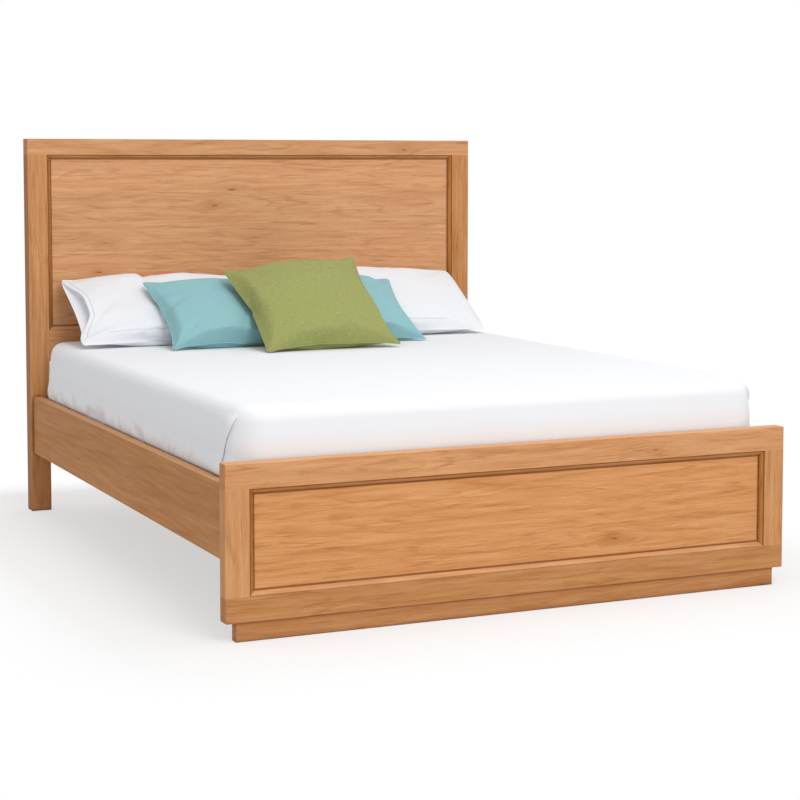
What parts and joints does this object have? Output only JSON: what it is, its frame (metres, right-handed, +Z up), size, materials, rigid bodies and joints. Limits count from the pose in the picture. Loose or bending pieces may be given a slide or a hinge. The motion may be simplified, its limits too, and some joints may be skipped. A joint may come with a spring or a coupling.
{
  "type": "bed",
  "caption": "Double bed of warm honey timber with panelled headboard and footboard, slatted base, mattress in a white sheet, pillows and cushions",
  "frame": {"origin": "on the floor under the middle of the bed", "axes": "+X to the right seen from the foot, +Y from the foot to the head, +Z up"},
  "size_m": [1.72, 2.13, 1.315],
  "materials": {
    "honey_timber": "satin oiled solid timber",
    "plain_pine": "planed and left bare",
    "zinc_steel": "zinc plated",
    "mattress_ticking": "woven ticking",
    "white_cotton": "plain woven cotton",
    "aqua_cotton": "matte woven cotton",
    "green_linen": "slubby linen"
  },
  "bodies": {
    "frame": {"bracket_bolts": "zinc_steel", "centre_beam": "plain_pine", "dowels": "plain_pine", "foot_beam_hanger": "zinc_steel", "foot_left_bracket": "zinc_steel", "foot_right_bracket": "zinc_steel", "footboard_bottom_rail": "honey_timber", "footboard_left_stile": "honey_timber", "footboard_moulding_bottom": "honey_timber", "footboard_moulding_left": "honey_timber", "footboard_moulding_right": "honey_timber", "footboard_moulding_top": "honey_timber", "footboard_panel": "honey_timber", "footboard_right_stile": "honey_timber", "footboard_stretcher": "plain_pine", "footboard_top_rail": "honey_timber", "frame_screws": "zinc_steel", "front_centre_leg": "plain_pine", "head_beam_hanger": "zinc_steel", "head_left_bracket": "zinc_steel", "head_right_bracket": "zinc_steel", "headboard_left_post": "honey_timber", "headboard_lower_rail": "honey_timber", "headboard_middle_rail": "honey_timber", "headboard_moulding_bottom": "honey_timber", "headboard_moulding_left": "honey_timber", "headboard_moulding_right": "honey_timber", "headboard_moulding_top": "honey_timber", "headboard_panel": "honey_timber", "headboard_right_post": "honey_timber", "headboard_top_rail": "honey_timber", "left_side_rail": "honey_timber", "left_slat_ledger": "plain_pine", "plinth": "honey_timber", "rear_centre_leg": "plain_pine", "right_side_rail": "honey_timber", "right_slat_ledger": "plain_pine", "slat_01": "plain_pine", "slat_02": "plain_pine", "slat_03": "plain_pine", "slat_04": "plain_pine", "slat_05": "plain_pine", "slat_06": "plain_pine", "slat_07": "plain_pine", "slat_08": "plain_pine", "slat_09": "plain_pine", "slat_10": "plain_pine", "slat_11": "plain_pine", "slat_12": "plain_pine", "slat_screws": "zinc_steel"},
    "mattress": {"mattress": "mattress_ticking", "fitted_sheet": "white_cotton"},
    "left_pillow": {"left_pillow": "white_cotton"},
    "right_pillow": {"right_pillow": "white_cotton"},
    "left_cushion": {"left_cushion": "aqua_cotton"},
    "right_cushion": {"right_cushion": "aqua_cotton"},
    "accent_cushion": {"accent_cushion": "green_linen"},
    "front_levelling_foot": {"front_levelling_foot": "zinc_steel"},
    "rear_levelling_foot": {"rear_levelling_foot": "zinc_steel"}
  },
  "joints": [
    {"name": "mattress_lift", "type": "slide", "parent": "frame", "child": "mattress", "axis": [0, 0, 1], "range_m": [0, 0.35]},
    {"name": "accent_cushion_lift", "type": "slide", "parent": "mattress", "child": "accent_cushion", "axis": [0, 0, 1], "range_m": [0, 0.4]},
    {"name": "left_cushion_slide", "type": "slide", "parent": "mattress", "child": "left_cushion", "axis": [-1, 0, 0], "range_m": [0, 0.75]},
    {"name": "right_cushion_slide", "type": "slide", "parent": "mattress", "child": "right_cushion", "axis": [1, 0, 0], "range_m": [0, 0.82]},
    {"name": "left_pillow_slide", "type": "slide", "parent": "mattress", "child": "left_pillow", "axis": [-1, 0, 0], "range_m": [0, 0.8]},
    {"name": "right_pillow_slide", "type": "slide", "parent": "mattress", "child": "right_pillow", "axis": [1, 0, 0], "range_m": [0, 0.8]},
    {"name": "front_foot_thread", "type": "slide", "parent": "frame", "child": "front_levelling_foot", "axis": [0, 0, 1], "range_m": [0, 0.012]},
    {"name": "rear_foot_thread", "type": "slide", "parent": "frame", "child": "rear_levelling_foot", "axis": [0, 0, 1], "range_m": [0, 0.012]}
  ]
}
